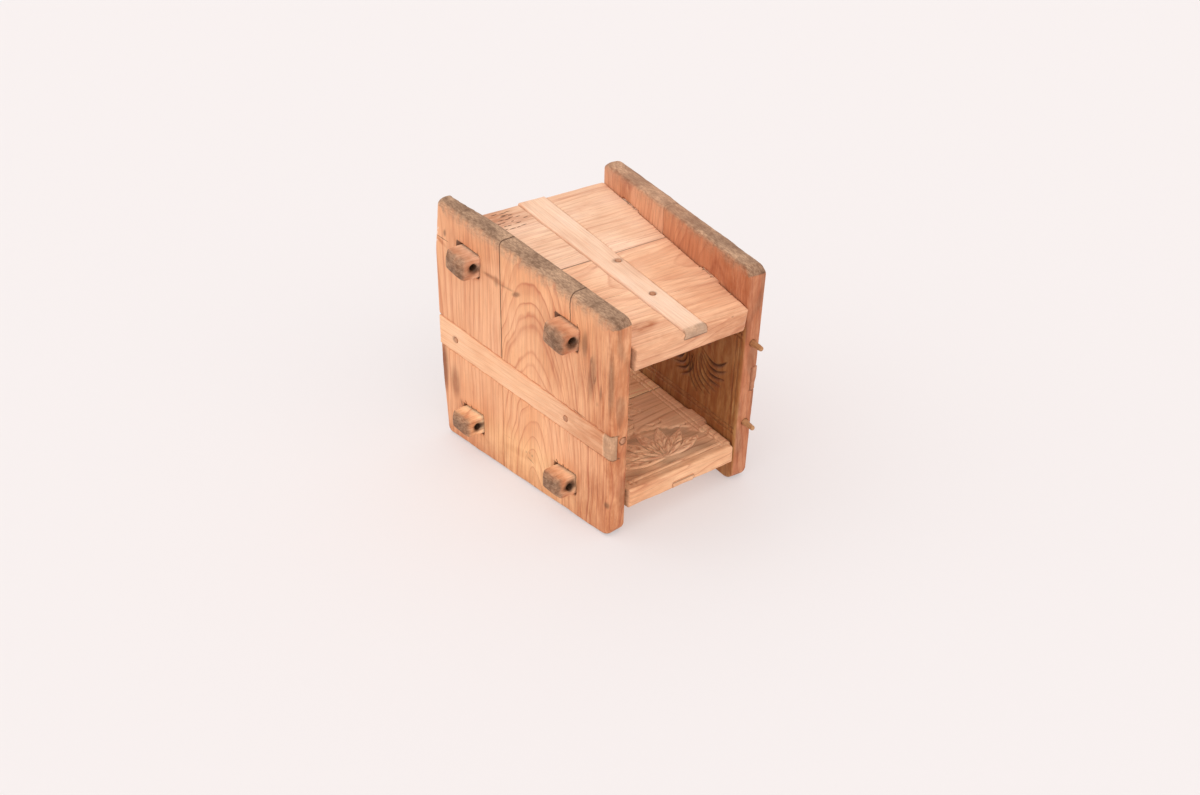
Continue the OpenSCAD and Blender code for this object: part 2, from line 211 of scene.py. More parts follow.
def leaf(base, tip, width):
    """A pointed leaf: two bowed sides, a middle vein and short side veins."""
    base, tip = np.array(base, float), np.array(tip, float)
    along = tip - base
    side = np.array([-along[1], along[0]])
    made = [
        stroke(base, tip, width / 2, 3.0, ends=0.4),
        stroke(base, tip, -width / 2, 3.0, ends=0.4),
        stroke(base, base + along * 0.8, 0, 2.6, ends=0.3),
    ]
    for share in (0.3, 0.5, 0.68):
        root = base + along * share
        for turn_to in (-1, 1):
            end = root + along * 0.16 + side * turn_to * 0.30 * width / np.linalg.norm(side) * (1.15 - share)
            made.append(stroke(root, end, 0, 2.2, ends=0.4))
    return made


def rosette(centre, radius, petals):
    """A ring of pointed petals, with small chip cuts between them."""
    centre = np.array(centre, float)
    made = []
    for i in range(petals):
        angle = 2 * pi * (i + 0.25) / petals
        way = heading(angle)
        made += leaf(centre + way * radius * 0.18, centre + way * radius, radius * 0.42)
        angle += pi / petals
        way = heading(angle)
        made.append(stroke(centre + way * radius * 0.62, centre + way * radius * 0.90, 0, 4.2))
    turns = np.linspace(0, 2 * pi, 17)
    ring = [centre + heading(a) * radius * 0.13 for a in turns]
    made.append((np.array(ring), np.full(17, 2.4)))
    return made


def sunk_ground(face, centre, tips, width, radius):
    """How deep the ground between a flower's leaves is cut away, so that the leaves stand up."""
    inside = np.full(len(face), -9.0)
    for tip in tips:
        along = np.array(tip, float) - centre
        length = np.linalg.norm(along)
        t = ((face - centre) @ along) / length**2
        across = np.abs((face - centre) @ np.array([-along[1], along[0]]) / length)
        half = np.where((t > 0) & (t < 1), width / 2 * np.sin(pi * np.clip(t, 0, 1)), -9.0)
        inside = np.maximum(inside, half - across)
    uneven = 2.5 * waves(np.column_stack([face, face[:, :1]]), 9, 3)
    reach = np.linalg.norm((face - centre) * (1.0, 1.15), axis=1) + uneven
    level = 1 - ease(radius - 2.5, radius, reach)
    return 1.1 * ease(-0.9, 0.1, -inside) * level * (face[:, 1] > centre[1] - 8)


def border(low, high, inset, spread, width):
    """Two lines along a tapered face's two long edges and along its two ends, as (across, along) points."""
    made = []
    for step in (inset, inset + spread):
        for edge in (low, high):
            sign = 1 if edge is low else -1
            made.append(line_cut((edge[0] + sign * step, 4), (edge[1] + sign * step, LENGTH - 4), width))
        for y in (step - 1.0, LENGTH - step + 1.0):
            made.append(line_cut((between(low, y) + inset, y), (between(high, y) - inset, y), width))
    return made


FLOOR_EDGE = (MOUTH[0] / 2 - 0.6, MOUTH[1] / 2 - 0.6)
LEVEL_CARVING = border((-FLOOR_EDGE[0], -FLOOR_EDGE[1]), FLOOR_EDGE, 7.0, 4.2, 2.0)
FLOWER = (0, 18)  # where the floor's half flower springs from
LEAF_WIDTH = 12
FLOWER_REACH = 47
LEAF_TIPS = ((-40, 26), (-34, 42), (-20, 54), (0, 60), (20, 55), (34, 43), (39, 27))
for tip in LEAF_TIPS:
    LEVEL_CARVING += leaf(FLOWER, tip, LEAF_WIDTH)
    for turned in (-1, 1):
        root = np.array((2 + (tip[0] - 2) * 1.08, 18 + (tip[1] - 18) * 1.08 + 1))
        end = root + (turned * 7, 5 - 0.1 * abs(tip[0]))
        LEVEL_CARVING.append(stroke(root, end, -2 * turned, 3.0, ends=0.3))
LEVEL_CARVING += rosette((-2, 100), 34, 7)
LEVEL_CARVING += fan((0, 190), 40, 215, 110, 8, -4, 3.4)
SIDE_CARVING = border((-FLOOR[0], -FLOOR[1]), CEILING, 7.0, 4.2, 2.2)
for hub, sweep in ((64, 1), (148, -1)):
    for first, cuts, reach, bend in ((176, 8, 46, 10), (288, 8, 40, -9), (62, 8, 34, 8)):
        start = first if sweep > 0 else 180 - first
        petals = fan(np.array([hub, 18]), reach, start, sweep * 11 * (cuts - 1), cuts, sweep * bend, 4.4)
        SIDE_CARVING += [(line[:, ::-1], width) for line, width in petals]

# Meshes: a CAD node is remeshed finely in its board's space, then worn


def even_mesh(node, space, voxel):
    """A mesh of small even faces over a CAD node, in its board's space."""
    solid = bmesh.new()
    solid.from_mesh(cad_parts[node].data)
    bmesh.ops.remove_doubles(solid, verts=solid.verts, dist=1e-7)
    bmesh.ops.transform(solid, matrix=space.inverted(), verts=solid.verts)
    mesh = bpy.data.meshes.new("work")
    solid.to_mesh(mesh)
    solid.free()
    work = show("work", mesh)
    remesh = work.modifiers.new("even", "REMESH")
    remesh.mode = "VOXEL"
    remesh.voxel_size = voxel
    ready = work.evaluated_get(bpy.context.evaluated_depsgraph_get())
    made = bpy.data.meshes.new_from_object(ready)
    bpy.data.objects.remove(work)
    bpy.data.meshes.remove(mesh)
    return made


def refine(mesh, wanted):
    """Splits the faces that wanted(centres, normals) picks into four."""
    fine = bmesh.new()
    fine.from_mesh(mesh)
    fine.faces.ensure_lookup_table()
    centres = np.array([f.calc_center_median() for f in fine.faces])
    normals = np.array([f.normal for f in fine.faces])
    picked = np.flatnonzero(wanted(centres, normals))
    edges = {e for i in picked for e in fine.faces[i].edges}
    bmesh.ops.subdivide_edges(fine, edges=list(edges), cuts=1, use_grid_fill=True)
    fine.to_mesh(mesh)
    fine.free()


def read_points(mesh):
    points = np.zeros(len(mesh.vertices) * 3)
    mesh.vertices.foreach_get("co", points)
    return points.reshape(-1, 3)


def read_normals(mesh):
    normals = np.zeros(len(mesh.vertices) * 3, np.float32)
    mesh.vertex_normals.foreach_get("vector", normals)
    return normals.reshape(-1, 3).astype(float)


def relax(mesh, points, weight, passes):
    """Moves each point part of the way to the middle of its neighbours, which eases sharp edges."""
    pairs = np.zeros(len(mesh.edges) * 2, np.int32)
    mesh.edges.foreach_get("vertices", pairs)
    a, b = pairs.reshape(-1, 2).T
    count = np.bincount(np.concatenate([a, b]), minlength=len(points)).astype(float)
    for _ in range(passes):
        total = np.empty_like(points)
        for axis in range(3):
            total[:, axis] = np.bincount(a, points[b, axis], len(points))
            total[:, axis] += np.bincount(b, points[a, axis], len(points))
        middle = total / np.maximum(count, 1)[:, None]
        points += (middle - points) * (0.5 * weight)[:, None]


def eased_mesh(node, space, voxel):
    """A batten's or peg's even mesh with its edges eased, its points and its normals."""
    mesh = even_mesh(node, space, voxel)
    points = read_points(mesh)
    normals = read_normals(mesh)
    relax(mesh, points, np.ones(len(points)), 2)
    return mesh, points, normals


def close_joint(points, joint):
    """Brings the faces where two planks meet almost together again."""
    near = np.abs(points[:, 1] - joint) < 0.55 * VOXEL
    points[near, 1] = joint + np.sign(points[near, 1] - joint) * 0.12


def add_piece(name, mesh, points, space, masks, material, body, node):
    """Puts the worn mesh back in the world, stores its masks and takes the CAD node's place."""
    flat = np.array(space)
    world = points @ flat[:3, :3].T + flat[:3, 3]
    mesh.vertices.foreach_set("co", world.ravel())
    if space.determinant() < 0:
        mesh.flip_normals()
    for key, values in masks.items():
        kind = "FLOAT_VECTOR" if values.ndim == 2 else "FLOAT"
        layer = mesh.attributes.new(key, kind, "POINT")
        layer.data.foreach_set("vector" if values.ndim == 2 else "value", values.ravel())
    mesh.polygons.foreach_set("use_smooth", [True] * len(mesh.polygons))
    mesh.materials.clear()
    mesh.materials.append(material)
    mesh.update()
    mesh.name = name
    piece = show(name, mesh)
    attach(piece, body)
    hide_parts(node)


# Materials


class Tree:
    """Adds shader nodes to one material with short calls."""

    def __init__(self, name):
        self.material = bpy.data.materials.new(name)
        self.material.use_nodes = True
        self.nodes = self.material.node_tree.nodes
        self.links = self.material.node_tree.links
        self.shader = self.nodes["Principled BSDF"]

    def put(self, socket, value):
        if hasattr(value, "is_linked"):
            self.links.new(value, socket)
        else:
            socket.default_value = value

    def add(self, kind, inputs, **settings):
        node = self.nodes.new(kind)
        for key, value in settings.items():
            setattr(node, key, value)
        for key, value in inputs.items():
            self.put(node.inputs[key], value)
        return node

    def math(self, operation, a, b=0.0, c=0.0, clamp=False):
        inputs = {0: a, 1: b, 2: c}
        return self.add("ShaderNodeMath", inputs, operation=operation, use_clamp=clamp).outputs[0]

    def times(self, a, b, clamp=False):
        return self.math("MULTIPLY", a, b, clamp=clamp)

    def times_plus(self, a, b, c):
        return self.math("MULTIPLY_ADD", a, b, c)

    def vector(self, operation, a, b):
        return self.add("ShaderNodeVectorMath", {0: a, 1: b}, operation=operation).outputs[0]

    def read(self, name, output="Fac"):
        return self.add("ShaderNodeAttribute", {}, attribute_name=name).outputs[output]

    def noise(self, vector, detail, rough=0.55):
        inputs = {"Vector": vector, "Scale": 1.0, "Detail": detail, "Roughness": rough}
        return self.add("ShaderNodeTexNoise", inputs).outputs["Fac"]

    def grain(self, moved, stretch, detail, rough=0.55):
        """Noise in the wood's own space. stretch is its bumps per millimetre along and across."""
        return self.noise(self.vector("MULTIPLY", moved, stretch), detail, rough)

    def mix(self, factor, a, b, blend="MIX"):
        node = self.add("ShaderNodeMix", {}, data_type="RGBA", blend_type=blend)
        self.put(node.inputs[0], factor)
        self.put(node.inputs[6], a)
        self.put(node.inputs[7], b)
        return node.outputs[2]

    def span(self, value, low, high, to_low=0.0, to_high=1.0):
        inputs = {"Value": value, "From Min": low, "From Max": high, "To Min": to_low, "To Max": to_high}
        return self.add("ShaderNodeMapRange", inputs, interpolation_type="SMOOTHSTEP").outputs[0]

    def ramp(self, value, stops):
        node = self.add("ShaderNodeValToRGB", {0: value})
        edge = node.color_ramp.elements
        while len(edge) < len(stops):
            edge.new(0.5)
        for element, (place, colour) in zip(edge, stops):
            element.position = place
            element.color = (*colour, 1) if len(colour) == 3 else (colour[0],) * 3 + (1,)
        return node.outputs[0]


EARLY = (0.90, 0.49, 0.27, 1)
LATE = (0.54, 0.175, 0.085, 1)
PALE_EARLY = (0.95, 0.56, 0.33, 1)
PALE_LATE = (0.80, 0.38, 0.19, 1)
PEG_EARLY = (0.56, 0.29, 0.13, 1)
PEG_LATE = (0.33, 0.15, 0.06, 1)
PIN_EARLY = (0.62, 0.30, 0.165, 1)
PIN_LATE = (0.42, 0.17, 0.09, 1)
GREY_DARK = (0.28, 0.16, 0.095, 1)
GREY_LIGHT = (0.52, 0.32, 0.20, 1)
END_DARK = (0.17, 0.09, 0.05, 1)
END_LIGHT = (0.68, 0.42, 0.26, 1)
DARK = (0.075, 0.032, 0.014, 1)
SCUFFED = (0.95, 0.78, 0.68, 1)
# Tint of dirt, and of painted cavity shade on the side boards' inner walls
GRIME_AND_SHADE_TINT = (0.60, 0.39, 0.28, 1)
# Darkens the side boards' inner walls below the ceiling: painted cavity shade
CAVITY_SHADE_TINT = (0.82, 0.96, 0.67, 1)
BLEACH_TINT = (1.05, 1.15, 1.10, 1)
# How dark the wood is through one year's ring, as (place, darkness)
YEAR = [(0.0, (0.30,)), (0.06, (0.0,)), (0.58, (0.04,)), (0.83, (0.40,)), (0.93, (1.0,)), (1.0, (0.5,))]
# How dark the joint line is: below and above a side board's middle, left and right of a level one's
JOINT_DARK = {"left": (0.2, 0.8), "right": (0.15, 0.15), "top": (0.75, 0.5), "bottom": (0.5, 0.5)}
FIBRE_TONES = [(0.30, (0.80,)), (0.55, (1.0,)), (0.75, (1.08,))]
PATCH_TONES = [(0.28, (0.86, 0.72, 0.64)), (0.50, (1.0, 1.0, 1.0)), (0.68, (1.06, 1.12, 1.20))]


def ring_band(t, moved, split, pith, lean, ring, contrast, squash, seed):
    """How dark each point's place in its yearly ring is."""
    bend = t.times(t.math("SUBTRACT", t.grain(moved, (0.008, 0.014, 0.014), 2.0), 0.5), 30.0)
    across = t.math("ADD", t.times_plus(split[0], lean[0], -pith[0]), split[1])
    across = t.times(t.math("ADD", across, bend), squash)
    below = t.math("ADD", t.times_plus(split[0], lean[1], -pith[1]), split[2])
    below = t.times_plus(bend, 0.6, below)
    squares = [t.times(gap, gap) for gap in (across, below)]
    reach = t.math("SQRT", t.math("ADD", *squares))
    ring_seed = t.add("ShaderNodeCombineXYZ", {0: t.times(reach, 0.11), 1: seed})
    uneven = t.noise(ring_seed.outputs[0], 2.0)
    wander = t.grain(moved, (0.02, 0.09, 0.09), 2.0)
    phase = t.math("ADD", t.math("DIVIDE", reach, ring), t.times(uneven, 3.4))
    phase = t.times_plus(wander, 0.45, phase)
    band = t.ramp(t.math("FRACT", phase), YEAR)
    strength = t.span(t.grain(moved, (0.012, 0.04, 0.04), 2.0), 0.3, 0.65, 0.35, 1.0)
    return t.times(t.times(band, strength), contrast)


def planed_colour(t, moved, band, fibre, fleck, early, late, tint):
    """The colour of a clean planed face."""
    streak = t.grain(moved, (0.014, 0.28, 0.28), 3.0, 0.6)
    patch = t.grain(moved, (0.013, 0.02, 0.02), 3.0, 0.6)
    colour = t.mix(band, early, late)
    colour = t.mix(t.span(streak, 0.40, 0.75, 0.0, 0.38), colour, late)
    colour = t.mix(0.9, colour, t.ramp(fibre, FIBRE_TONES), "MULTIPLY")
    colour = t.mix(0.85, colour, t.ramp(patch, PATCH_TONES), "MULTIPLY")
    colour = t.mix(1.0, colour, (*tint, 1), "MULTIPLY")
    return t.mix(t.span(fleck, 0.66, 0.76, 0.0, 0.5), colour, late)


def end_colour(t, moved, band, pores):
    """The colour of old grey-brown end grain."""
    worn = t.grain(moved, (0.07, 0.045, 0.10), 3.0, 0.6)
    colour = t.mix(t.span(worn, 0.36, 0.66), END_DARK, END_LIGHT)
    colour = t.mix(t.times(band, 0.8), colour, END_DARK)
    return t.mix(t.span(pores, 0.38, 0.60, 0.6, 0.0), colour, END_DARK)


def weathered(t, moved, colour, pores):
    """Lays the mesh's dirt and painted cavity shade, its tints and greying over the wood's colour."""
    rough = t.grain(moved, (0.06, 0.22, 0.22), 4.0, 0.65)
    # This mask carries dirt and, on the side boards' inner walls, painted cavity shade
    grime_and_shade = t.times(t.read("grime_and_shade"), t.span(rough, 0.28, 0.65, 0.45, 1.15), clamp=True)
    # The inside mask lays painted cavity shade on the inner walls
    covers = (grime_and_shade, GRIME_AND_SHADE_TINT), (t.read("inside"), CAVITY_SHADE_TINT), (t.read("bleached"), BLEACH_TINT)
    for cover, tint in covers:
        colour = t.mix(cover, colour, t.mix(1.0, colour, tint, "MULTIPLY"))
    greyed = t.grain(moved, (0.14, 0.24, 0.24), 4.0, 0.65)
    grey = t.times(t.read("grey"), t.span(greyed, 0.32, 0.62, 0.25, 1.1), clamp=True)
    grey_colour = t.mix(t.span(pores, 0.36, 0.62), GREY_DARK, GREY_LIGHT)
    return t.mix(t.times(grey, 0.8), colour, grey_colour)


def gap_to_line(t, moved, split, line, scale, sway):
    """How far each point is from a wavering line along the grain."""
    wobble = t.math("SUBTRACT", t.grain(moved, (scale, 0, 0), 3.0), 0.5)
    return t.math("ABSOLUTE", t.math("SUBTRACT", t.times_plus(wobble, sway, split[1]), line))


def dark_lines(t, moved, split, pores, joint, cracks):
    """How black each point is, from the mesh's marks, the joint line and the cracks."""
    black = t.times(t.read("black"), t.span(pores, 0.25, 0.50, 0.7, 1.0), clamp=True)
    if joint is not None:
        line = t.span(gap_to_line(t, moved, split, joint[0], 0.15, 0.3), 0.15, 0.85, 1.0, 0.0)
        line = t.times(line, t.span(split[0], -5, 15, joint[1], joint[2]))
        black = t.math("MAXIMUM", black, line)
    for place, low, high in cracks:
        line = t.span(gap_to_line(t, moved, split, place, 0.08, 4.0), 0.2, 0.8, 0.85, 0.0)
        starts, stops = t.span(split[0], low, low + 4), t.span(split[0], high - 4, high, 1.0, 0.0)
        line = t.times(line, t.times(starts, stops))
        black = t.math("MAXIMUM", black, line)
    return black


def wood(
    name, pith, lean, ring, early=EARLY, late=LATE, contrast=0.75, seed=0.0, joint=None,
    tint=(1, 1, 1), squash=1.0, cracks=(),
):
    """Old planed softwood. The mesh gives "wood", the place in millimetres with X along the grain.

    pith is the tree's centre across and below the face, lean how it drifts along the grain, ring
    the spacing of its rings, and squash how much flatter than round they are. joint is the place
    across the grain where two planks meet, and how dark that line is below and above the middle.
    cracks are dark lines along the grain, each as (place across, from, to).
    """
    t = Tree(name)
    place = t.read("wood", "Vector")
    moved = t.vector("ADD", place, (seed * 37.0, seed * 11.0, seed * 5.0))
    split = t.add("ShaderNodeSeparateXYZ", {0: place}).outputs
    band = ring_band(t, moved, split, pith, lean, ring, contrast, squash, seed)
    fibre = t.grain(moved, (0.05, 1.7, 1.7), 4.0, 0.65)
    fleck = t.grain(moved, (0.13, 2.2, 2.2), 1.0)
    pores = t.grain(moved, (0.85, 0.28, 0.95), 5.0, 0.72)
    end = t.read("end")

    colour = planed_colour(t, moved, band, fibre, fleck, early, late, tint)
    colour = t.mix(end, colour, end_colour(t, moved, band, pores))
    colour = weathered(t, moved, colour, pores)
    colour = t.mix(dark_lines(t, moved, split, pores, joint, cracks), colour, DARK)
    pale = t.times(t.read("pale"), t.span(pores, 0.35, 0.55, 0.2, 0.9))
    t.put(t.shader.inputs["Base Color"], t.mix(pale, colour, SCUFFED))

    rough = t.math("ADD", t.span(fibre, 0.3, 0.7, 0.55, 0.75), t.times(end, 0.15))
    t.put(t.shader.inputs["Roughness"], rough)
    t.shader.inputs["Specular IOR Level"].default_value = 0.35
    height = t.times_plus(band, 0.55, t.times(fibre, 0.6))
    height = t.times_plus(fleck, 0.25, height)
    height = t.times_plus(t.times(pores, end), 1.4, height)
    bump = t.add("ShaderNodeBump", {"Strength": 0.30, "Distance": 0.0006, "Height": height})
    t.put(t.shader.inputs["Normal"], bump.outputs[0])
    return t.material


def plank_wood(board, part, pith, lean, ring, seed, tint, **more):
    """The wood of one plank, with the dark line where it meets the board's other plank."""
    joint = (JOINTS[board], *JOINT_DARK[board])
    return wood(f"wood_{board}_{part}", pith, lean, ring, seed=seed, tint=tint, joint=joint, **more)


# The side boards

OUT = np.array([1.0, 0, 0])
ALONG = np.array([0, 1.0, 0])
UP = np.array([0, 0, 1.0])
BODIES = {"left": "left_board", "right": "boards", "top": "boards", "bottom": "boards"}
BATTENS = {"left": -0.8, "right": 12.0, "top": 1.3, "bottom": 0.6}  # the battens' middles at the front
BATTEN_WIDTH = 18.5  # at the front
BATTEN_WORN = {"left": 0.55, "right": 0.12, "top": 0.55, "bottom": 0.1}  # how weathered the ends are
EDGE_PEG = (5.4, 3.1)  # the left board's edge peg, across the board's thickness and up
EDGE_PEG_RADIUS = 2.8


def beside_batten(across, board):
    """How far each point is from the edges of a board's batten, at its front end."""
    return np.abs(np.abs(across - BATTENS[board]) - BATTEN_WIDTH / 2 - 0.2)


def tenon_level(level, y):
    """The middle of a tenon's thickness, as a level in the mould's space."""
    if level == "top":
        return between(CEILING, y) + TOP_T / 2
    return -between(FLOOR, y) - BOTTOM_T / 2


CORNERS = {"left": (9, 7, 7, 6), "right": (10, 8, 7, 7)}  # radii: low front, top front, top back, low back
BOW = {"left": 5.5, "right": 0.0}  # how far the back edge bows out


def side_gap(side, points):
    """How far each point is inside a side board's worn outline, and which way is out there."""
    y, z = points[:, 1], points[:, 2]
    edge = LEFT_EDGE if side == "left" else RIGHT_EDGE
    start, end = SIDE_START + 4, SIDE_LENGTH - 4
    bow = np.interp(z, (-84, -44, edge[1] * 0.2, edge[1] * 0.6, edge[1] - 5), (0, 0.6, 1, 1, 0)) * BOW[side]
    front = y - SIDE_START
    top = edge[0] + (edge[1] - 1 - edge[0]) * (y - start) / (end - start) - z
    back = SIDE_LENGTH + bow - y
    low = z + between(LOWER_EDGE, y)
    gap = np.minimum(np.minimum(front, top), np.minimum(back, low))
    way = np.zeros_like(points)
    for one_gap, direction in ((front, -ALONG), (top, UP), (back, ALONG), (low, -UP)):
        way[gap == one_gap] = direction
    pairs = (
        (front, -ALONG, low, -UP),
        (front, -ALONG, top, UP),
        (back, ALONG, top, UP),
        (back, ALONG, low, -UP),
    )
    for radius, (gap_a, way_a, gap_b, way_b) in zip(CORNERS[side], pairs):
        a, b = radius - gap_a, radius - gap_b
        corner = (a > 0) & (b > 0)
        reach = np.maximum(np.hypot(a, b), 1e-6)
        gap = np.where(corner, radius - reach, gap)
        way[corner] = ((a / reach)[:, None] * way_a + (b / reach)[:, None] * way_b)[corner]
    return gap, way


def to_tenon(points):
    """How far each point of a side board is outside the nearest tenon's section, and which way."""
    y = points[:, 1] * cos(SIDE_ANGLE) - points[:, 0] * sin(SIDE_ANGLE)
    best = np.full(len(points), 99.0)
    way = np.zeros_like(points)
    for level in ("top", "bottom"):
        for place, width in TENONS:
            along = y - place
            up = points[:, 2] - tenon_level(level, y)
            a, b = np.abs(along) - width / 2, np.abs(up) - THICK[level] / 2
            reach = np.where((a > 0) & (b > 0), np.hypot(a, b), np.maximum(a, b))
            near = reach < best
            best[near] = reach[near]
            mostly_a = (a > b)[:, None]
            aim = np.where(mostly_a, np.sign(along)[:, None] * ALONG, np.sign(up)[:, None] * UP)
            way[near] = aim[near]
    return best, way


def plank_mesh(board, part, carving, cuts, out_axis, face_axes):
    """A plank's even mesh, finer under its carving and cuts, with its edges eased."""
    mesh = even_mesh(f"{board}_{part}_plank", SPACES[board], VOXEL)

    def carved(centres, normals):
        inner = (normals[:, out_axis] < -0.9) & (centres[:, out_axis] < 0.6)
        return inner & near_strokes(centres[:, face_axes], carving)

    def cut(centres, normals):
        outer = (normals[:, out_axis] > 0.9) & (centres[:, out_axis] > THICK[board] - 0.6)
        return outer & near_strokes(centres[:, face_axes], cuts)

    refine(mesh, carved)
    for _ in range(2):
        refine(mesh, cut)
    points = read_points(mesh)
    normals = read_normals(mesh)
    close_joint(points, JOINTS[board])
    loose = ease(0.3, 2.0, np.abs(points[:, 1] - JOINTS[board]))
    relax(mesh, points, loose, 3 if VOXEL < 1.5 else 1)
    return mesh, points, normals, loose


def shape_side(side, points, normals, loose, cuts):
    """Wears a side board's plank, opens its mortises, and carves and cuts it. Returns how far each
    point is inside the outline and which way is out, the same for the tenons, and both depths."""
    gap, way = side_gap(side, points)
    points += np.where(gap < 0, gap, 0)[:, None] * way
    if side == "left":
        thinned = 0.36 * ease(120, 200, points[:, 1]) * ease(100, 123, points[:, 2])
        points[:, 0] += (SIDE_T - points[:, 0]) * thinned
    gap, way = side_gap(side, points)
    nibble = 1 + 0.16 * waves(points, 46, 5) + 0.05 * waves(points, 11, 6)
    top_edge = ease(0.3, 0.8, way[:, 2])
    outer_radius = (4.2 + 1.6 * top_edge) * nibble
    round_edge(points, gap, way, SIDE_T - points[:, 0], OUT, outer_radius)
    gap, way = side_gap(side, points)
    thinner = 3.5 * ease(120, 205, points[:, 1]) if side == "left" else 1.5 * ease(110, 195, points[:, 1])
    round_edge(points, gap, way, points[:, 0], -OUT, (2.2 + (1.0 + thinner) * top_edge) * nibble)

    rim, rim_way = to_tenon(points)
    opened = (1 - ease(0.6, 2.4, rim)) * ease(8, 15.5, points[:, 0]) * (0.75 + 0.5 * waves(points, 7, 12))
    points += (np.clip(opened, 0, 1.2) * 0.9)[:, None] * rim_way

    face = points[:, [2, 1]]
    inner = (points[:, 0] < 1.2) & (normals[:, 0] < -0.5)
    depth = carve_depth(face, SIDE_CARVING) * inner * (1 + 0.2 * waves(points, 14, 11))
    outer = (points[:, 0] > SIDE_T - 4) & (normals[:, 0] > 0.4)
    cut_depth = carve_depth(face, cuts) * outer
    points[:, 0] += depth - cut_depth
    plane = 0.22 * waves(points * (1, 1, 0.25), 26, 3) * loose
    points[:, 0] -= np.where(normals[:, 0] > 0.6, np.abs(plane), 0)
    return gap, way, rim, rim_way, depth, cut_depth


def side_grime_and_shade(side, points, normals, ragged, rim, stains):
    """Where hands and damp have darkened a side board, and painted cavity shade on its inner faces below the
    ceiling.
    """
    y, z = points[:, 1], points[:, 2]
    outer = ease(0.2, 0.8, normals[:, 0])
    inside = ease(0.2, 0.8, -normals[:, 0])
    low_gap = z + between(LOWER_EDGE, y)
    layers = [
        0.75 * (1 - ease(0, 16, y + ragged)),
        0.55 * (1 - ease(0, 26, low_gap + ragged)) * outer,
        spots(points[:, 1:], stains) * outer,
        0.5 * (1 - ease(0, 6, rim + 0.3 * ragged)) * outer,
        # Painted cavity shade: the inner faces below the ceiling are darkened
        0.85 * inside * (z < between(CEILING, y)),
        0.8 * inside * (1 - ease(10, 90, y + 2 * ragged)),
        0.62 * outer * (1 - ease(20, 66, y + ragged)) * (0.8 + 0.5 * waves(points, 40, 14)),
    ]
    if side == "right":
        above = inside * (z > between(CEILING, y))
        layers += [
            0.7 * (1 - ease(3, 9, y + 0.4 * ragged)),
            0.7 * above * ease(157, 159, y) * (1 - 0.6 * ease(170, 196, y)),
            0.35 * above * (1 - ease(50, 112, y)),
        ]
    return np.maximum.reduce(layers)


def side_black(side, points, normals, worn, dark_marks):
    """The dark marks, painted shade in the carved lines, knife cuts, painted shade in the gaps round the
    tenons and batten, and smudges.
    """
    _, _, rim, rim_way, depth, cut_depth = worn
    y, z = points[:, 1], points[:, 2]
    outer = ease(0.2, 0.8, normals[:, 0])
    # Painted shadow in the gaps round the tenons is wider on their upper and front sides
    shown = np.where((rim_way[:, 2] > 0.5) | (rim_way[:, 1] < -0.5), 0.8, 0.0)
    front_face = ease(0.5, 0.9, -normals[:, 1]) * (y < 6)
    smudge = ease(0.25, 0.8, waves(points * (1, 1, 0.14), 7, 33))
    smudge += ease(0.3, 0.8, waves(points * (1, 1, 0.3), 12, 34))
    layers = [
        spots(points[:, 1:], dark_marks) * outer,
        # Painted shade in the carving, darker where the cut is deeper
        0.8 * ease(0.5, 1.9, depth),
        0.9 * ease(0.05, 0.35, cut_depth),
        # Painted shadow in the gap between each tenon and its mortise
        0.85 * (1 - ease(0.3 + shown, 1.3 + shown, rim)) * ease(4, 12, points[:, 0]),
        # Painted shade in the gap round the batten's end
        0.8 * front_face * (1 - ease(0.3, 1.1, beside_batten(z, side))) * (points[:, 0] > 8.5),
        0.30 * front_face * np.clip(smudge, 0, 1),
    ]
    if side == "left":
        ring = np.abs(np.hypot(points[:, 0] - EDGE_PEG[0], z - EDGE_PEG[1]) - EDGE_PEG_RADIUS)
        layers.append(0.75 * front_face * (1 - ease(0.2, 0.9, ring)))
    return np.maximum.reduce(layers)


def side_plank(side, part, material, stains, dark_marks, cuts, scuffs=()):
    """One plank of a side board, with worn edges, mortises, carving and stains."""
    mesh, points, normals, loose = plank_mesh(side, part, SIDE_CARVING, cuts, 0, [2, 1])
    worn = shape_side(side, points, normals, loose, cuts)
    gap, way, rim = worn[:3]
    y, z = points[:, 1], points[:, 2]
    outer = ease(0.2, 0.8, normals[:, 0])
    inside = ease(0.2, 0.8, -normals[:, 0])
    ragged = 4 * waves(points, 16, 8) + 2 * waves(points, 5, 9)
    ragged += 2.0 * waves(points * (1, 1, 0.2), 3, 10)
    up_gap = np.where(way[:, 2] > 0.3, gap, 99)
    end = 1 - ease(0.3, 5.0, up_gap + 0.2 * ragged)
    end = np.maximum(end, ease(0.55, 0.9, np.abs(normals[:, 2]) * (gap < 4)))
    grey = (1 - ease(3, 10 + 0.03 * y, up_gap + 0.45 * ragged)) * 0.8
    aged = 1.0 if side == "left" else 0.70 + 0.25 * (1 - ease(20, 120, y))
    masks = {
        "pale": ease(0.02, 0.3, carve_depth(points[:, [2, 1]], scuffs)) * outer,
        "wood": np.column_stack([z, y, points[:, 0]]),
        "end": end * aged,
        "grey": grey * aged * aged,
        # The side boards' dirt mask also holds painted cavity shade
        "grime_and_shade": side_grime_and_shade(side, points, normals, ragged, rim, stains),
        "black": side_black(side, points, normals, worn, dark_marks),
        # Painted cavity shade: the inner faces below the ceiling take the darker cavity tint
        "inside": inside * (z < between(CEILING, y)),
        "bleached": outer * spots(points[:, 1:], [(95, -64, 80, 26, 0)]) * aged,
    }
    name, node = f"{side}_board_{part}", f"{side}_{part}_plank"
    add_piece(name, mesh, points, SPACES[side], masks, material, BODIES[side], node)


# The top and bottom boards


